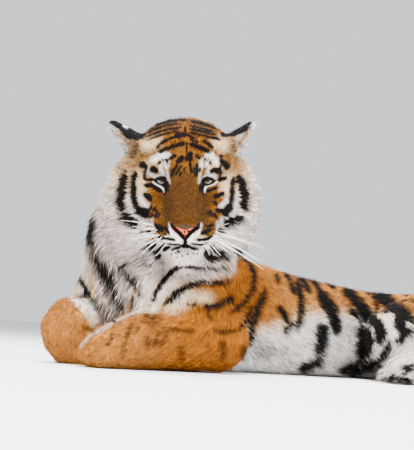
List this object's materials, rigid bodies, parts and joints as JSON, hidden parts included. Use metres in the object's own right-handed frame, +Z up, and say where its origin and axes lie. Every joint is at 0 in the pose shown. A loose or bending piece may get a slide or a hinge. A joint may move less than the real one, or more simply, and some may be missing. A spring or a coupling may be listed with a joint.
{
  "type": "siberian tiger",
  "caption": "Life-size tiger lying at rest with head raised and turned to its left, forelegs ahead, winter coat, still museum model.",
  "frame": {"origin": "on the floor, under the middle of the model's box", "axes": "+Z up; the hips lie towards +X from the shoulders, the animal's own left side faces -Y, and the head looks between -X and -Y"},
  "size_m": [1.7898, 1.0216, 0.6785],
  "materials": {
    "coat": "orange winter fur with black stripes, white on belly and inner legs",
    "pale_coat": "long white and grey ruff fur with black stripes",
    "ear_coat": "short black fur, white spot behind, pale hair inside",
    "nose_leather": "pink moist nose leather, dark at its rim",
    "eye": "pale green-gold iris under a wet clear surface"
  },
  "bodies": {
    "root": {"head": "coat", "ear_left": "ear_coat", "ear_right": "ear_coat", "eye_left": "eye", "eye_right": "eye", "nose": "nose_leather", "neck": "pale_coat", "trunk": "coat", "foreleg_left": "coat", "foreleg_right": "coat", "forepaw_left": "coat", "forepaw_right": "coat", "hindleg_left": "coat", "hindleg_right": "coat", "hindpaw_left": "coat", "hindpaw_right": "coat", "tail_root": "coat", "tail_middle": "coat", "tail_tip": "coat"}
  },
  "joints": []
}
